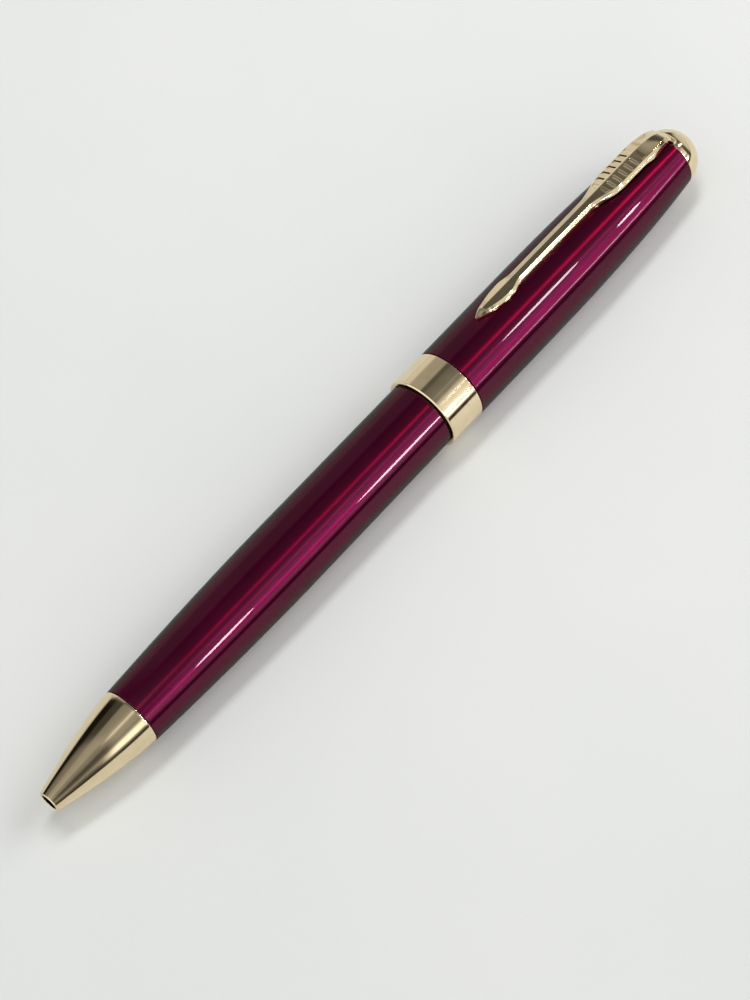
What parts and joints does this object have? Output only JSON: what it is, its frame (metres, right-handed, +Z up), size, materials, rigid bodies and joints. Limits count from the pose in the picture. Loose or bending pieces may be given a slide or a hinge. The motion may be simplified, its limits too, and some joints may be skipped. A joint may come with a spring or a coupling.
{
  "type": "twist-action ballpoint pen",
  "caption": "Twist-action ballpoint pen with lacquered metal barrels, polished nose, band, domed end and spring clip.",
  "frame": {"origin": "bottom centre of the pen as it lies on a table", "axes": "+X along the pen from the nose to the domed end, +Z up; the clip is rolled 18.5 degrees from straight up towards +Y"},
  "size_m": [0.136, 0.0118, 0.013],
  "materials": {
    "polished_gold_plate": "mirror polished pale gold plate on brass",
    "burgundy_lacquer": "glossy translucent burgundy lacquer over brushed metal",
    "brass_turned": "turned brass, as cut",
    "black_nylon": "moulded black nylon",
    "black_rubber": "moulded nitrile rubber",
    "spring_steel": "drawn steel wire",
    "stainless_point": "turned stainless steel",
    "refill_metal": "satin drawn tube",
    "refill_plastic": "moulded translucent plastic",
    "ink": "blue-black ink paste",
    "carbide": "ground tungsten carbide",
    "white_acetal": "moulded acetal"
  },
  "bodies": {
    "lower_body": {"nose_cone": "polished_gold_plate", "lower_barrel": "burgundy_lacquer", "barrel_bush": "brass_turned", "twist_washer": "black_nylon", "mechanism_housing": "brass_turned", "friction_ring": "black_rubber", "retaining_ring": "spring_steel", "refill_spring": "spring_steel"},
    "refill": {"refill_point": "stainless_point", "refill_neck": "refill_metal", "refill_tube": "refill_metal", "refill_ink": "ink", "refill_end_plug": "refill_plastic", "plunger": "white_acetal", "follower_pin": "spring_steel"},
    "ball": {"point_ball": "carbide"},
    "cap": {"cam_sleeve": "brass_turned", "mechanism_end_cap": "black_nylon", "cap_liner": "brass_turned", "centre_band": "polished_gold_plate", "upper_barrel": "burgundy_lacquer", "cap_bushing": "brass_turned", "finial_stud": "brass_turned", "finial_dome": "polished_gold_plate", "clip_ring": "polished_gold_plate"},
    "clip": {"clip_arm": "polished_gold_plate"}
  },
  "joints": [
    {"name": "cap_twist", "type": "hinge", "parent": "lower_body", "child": "cap", "pos_m": [0, 0, 0.00595], "axis": [1, 0, 0], "range_deg": [0, 160]},
    {"name": "refill_slide", "type": "slide", "parent": "lower_body", "child": "refill", "axis": [-1, 0, 0], "range_m": [0, 0.00541], "deforming": ["refill_spring"]},
    {"name": "ball_roll", "type": "hinge", "parent": "refill", "child": "ball", "pos_m": [-0.0649, 0, 0.00595], "axis": [0, 1, 0], "continuous": true},
    {"name": "clip_flex", "type": "hinge", "parent": "cap", "child": "clip", "pos_m": [0.06282, 0.0017, 0.01102], "axis": [0, 0.9483, -0.3173], "range_deg": [0, 5], "stiffness_Nm_per_rad": 2}
  ],
  "couplings": [
    {"joint": "refill_slide", "follows": "cap_twist", "m_per_rad": 0.0019337}
  ]
}
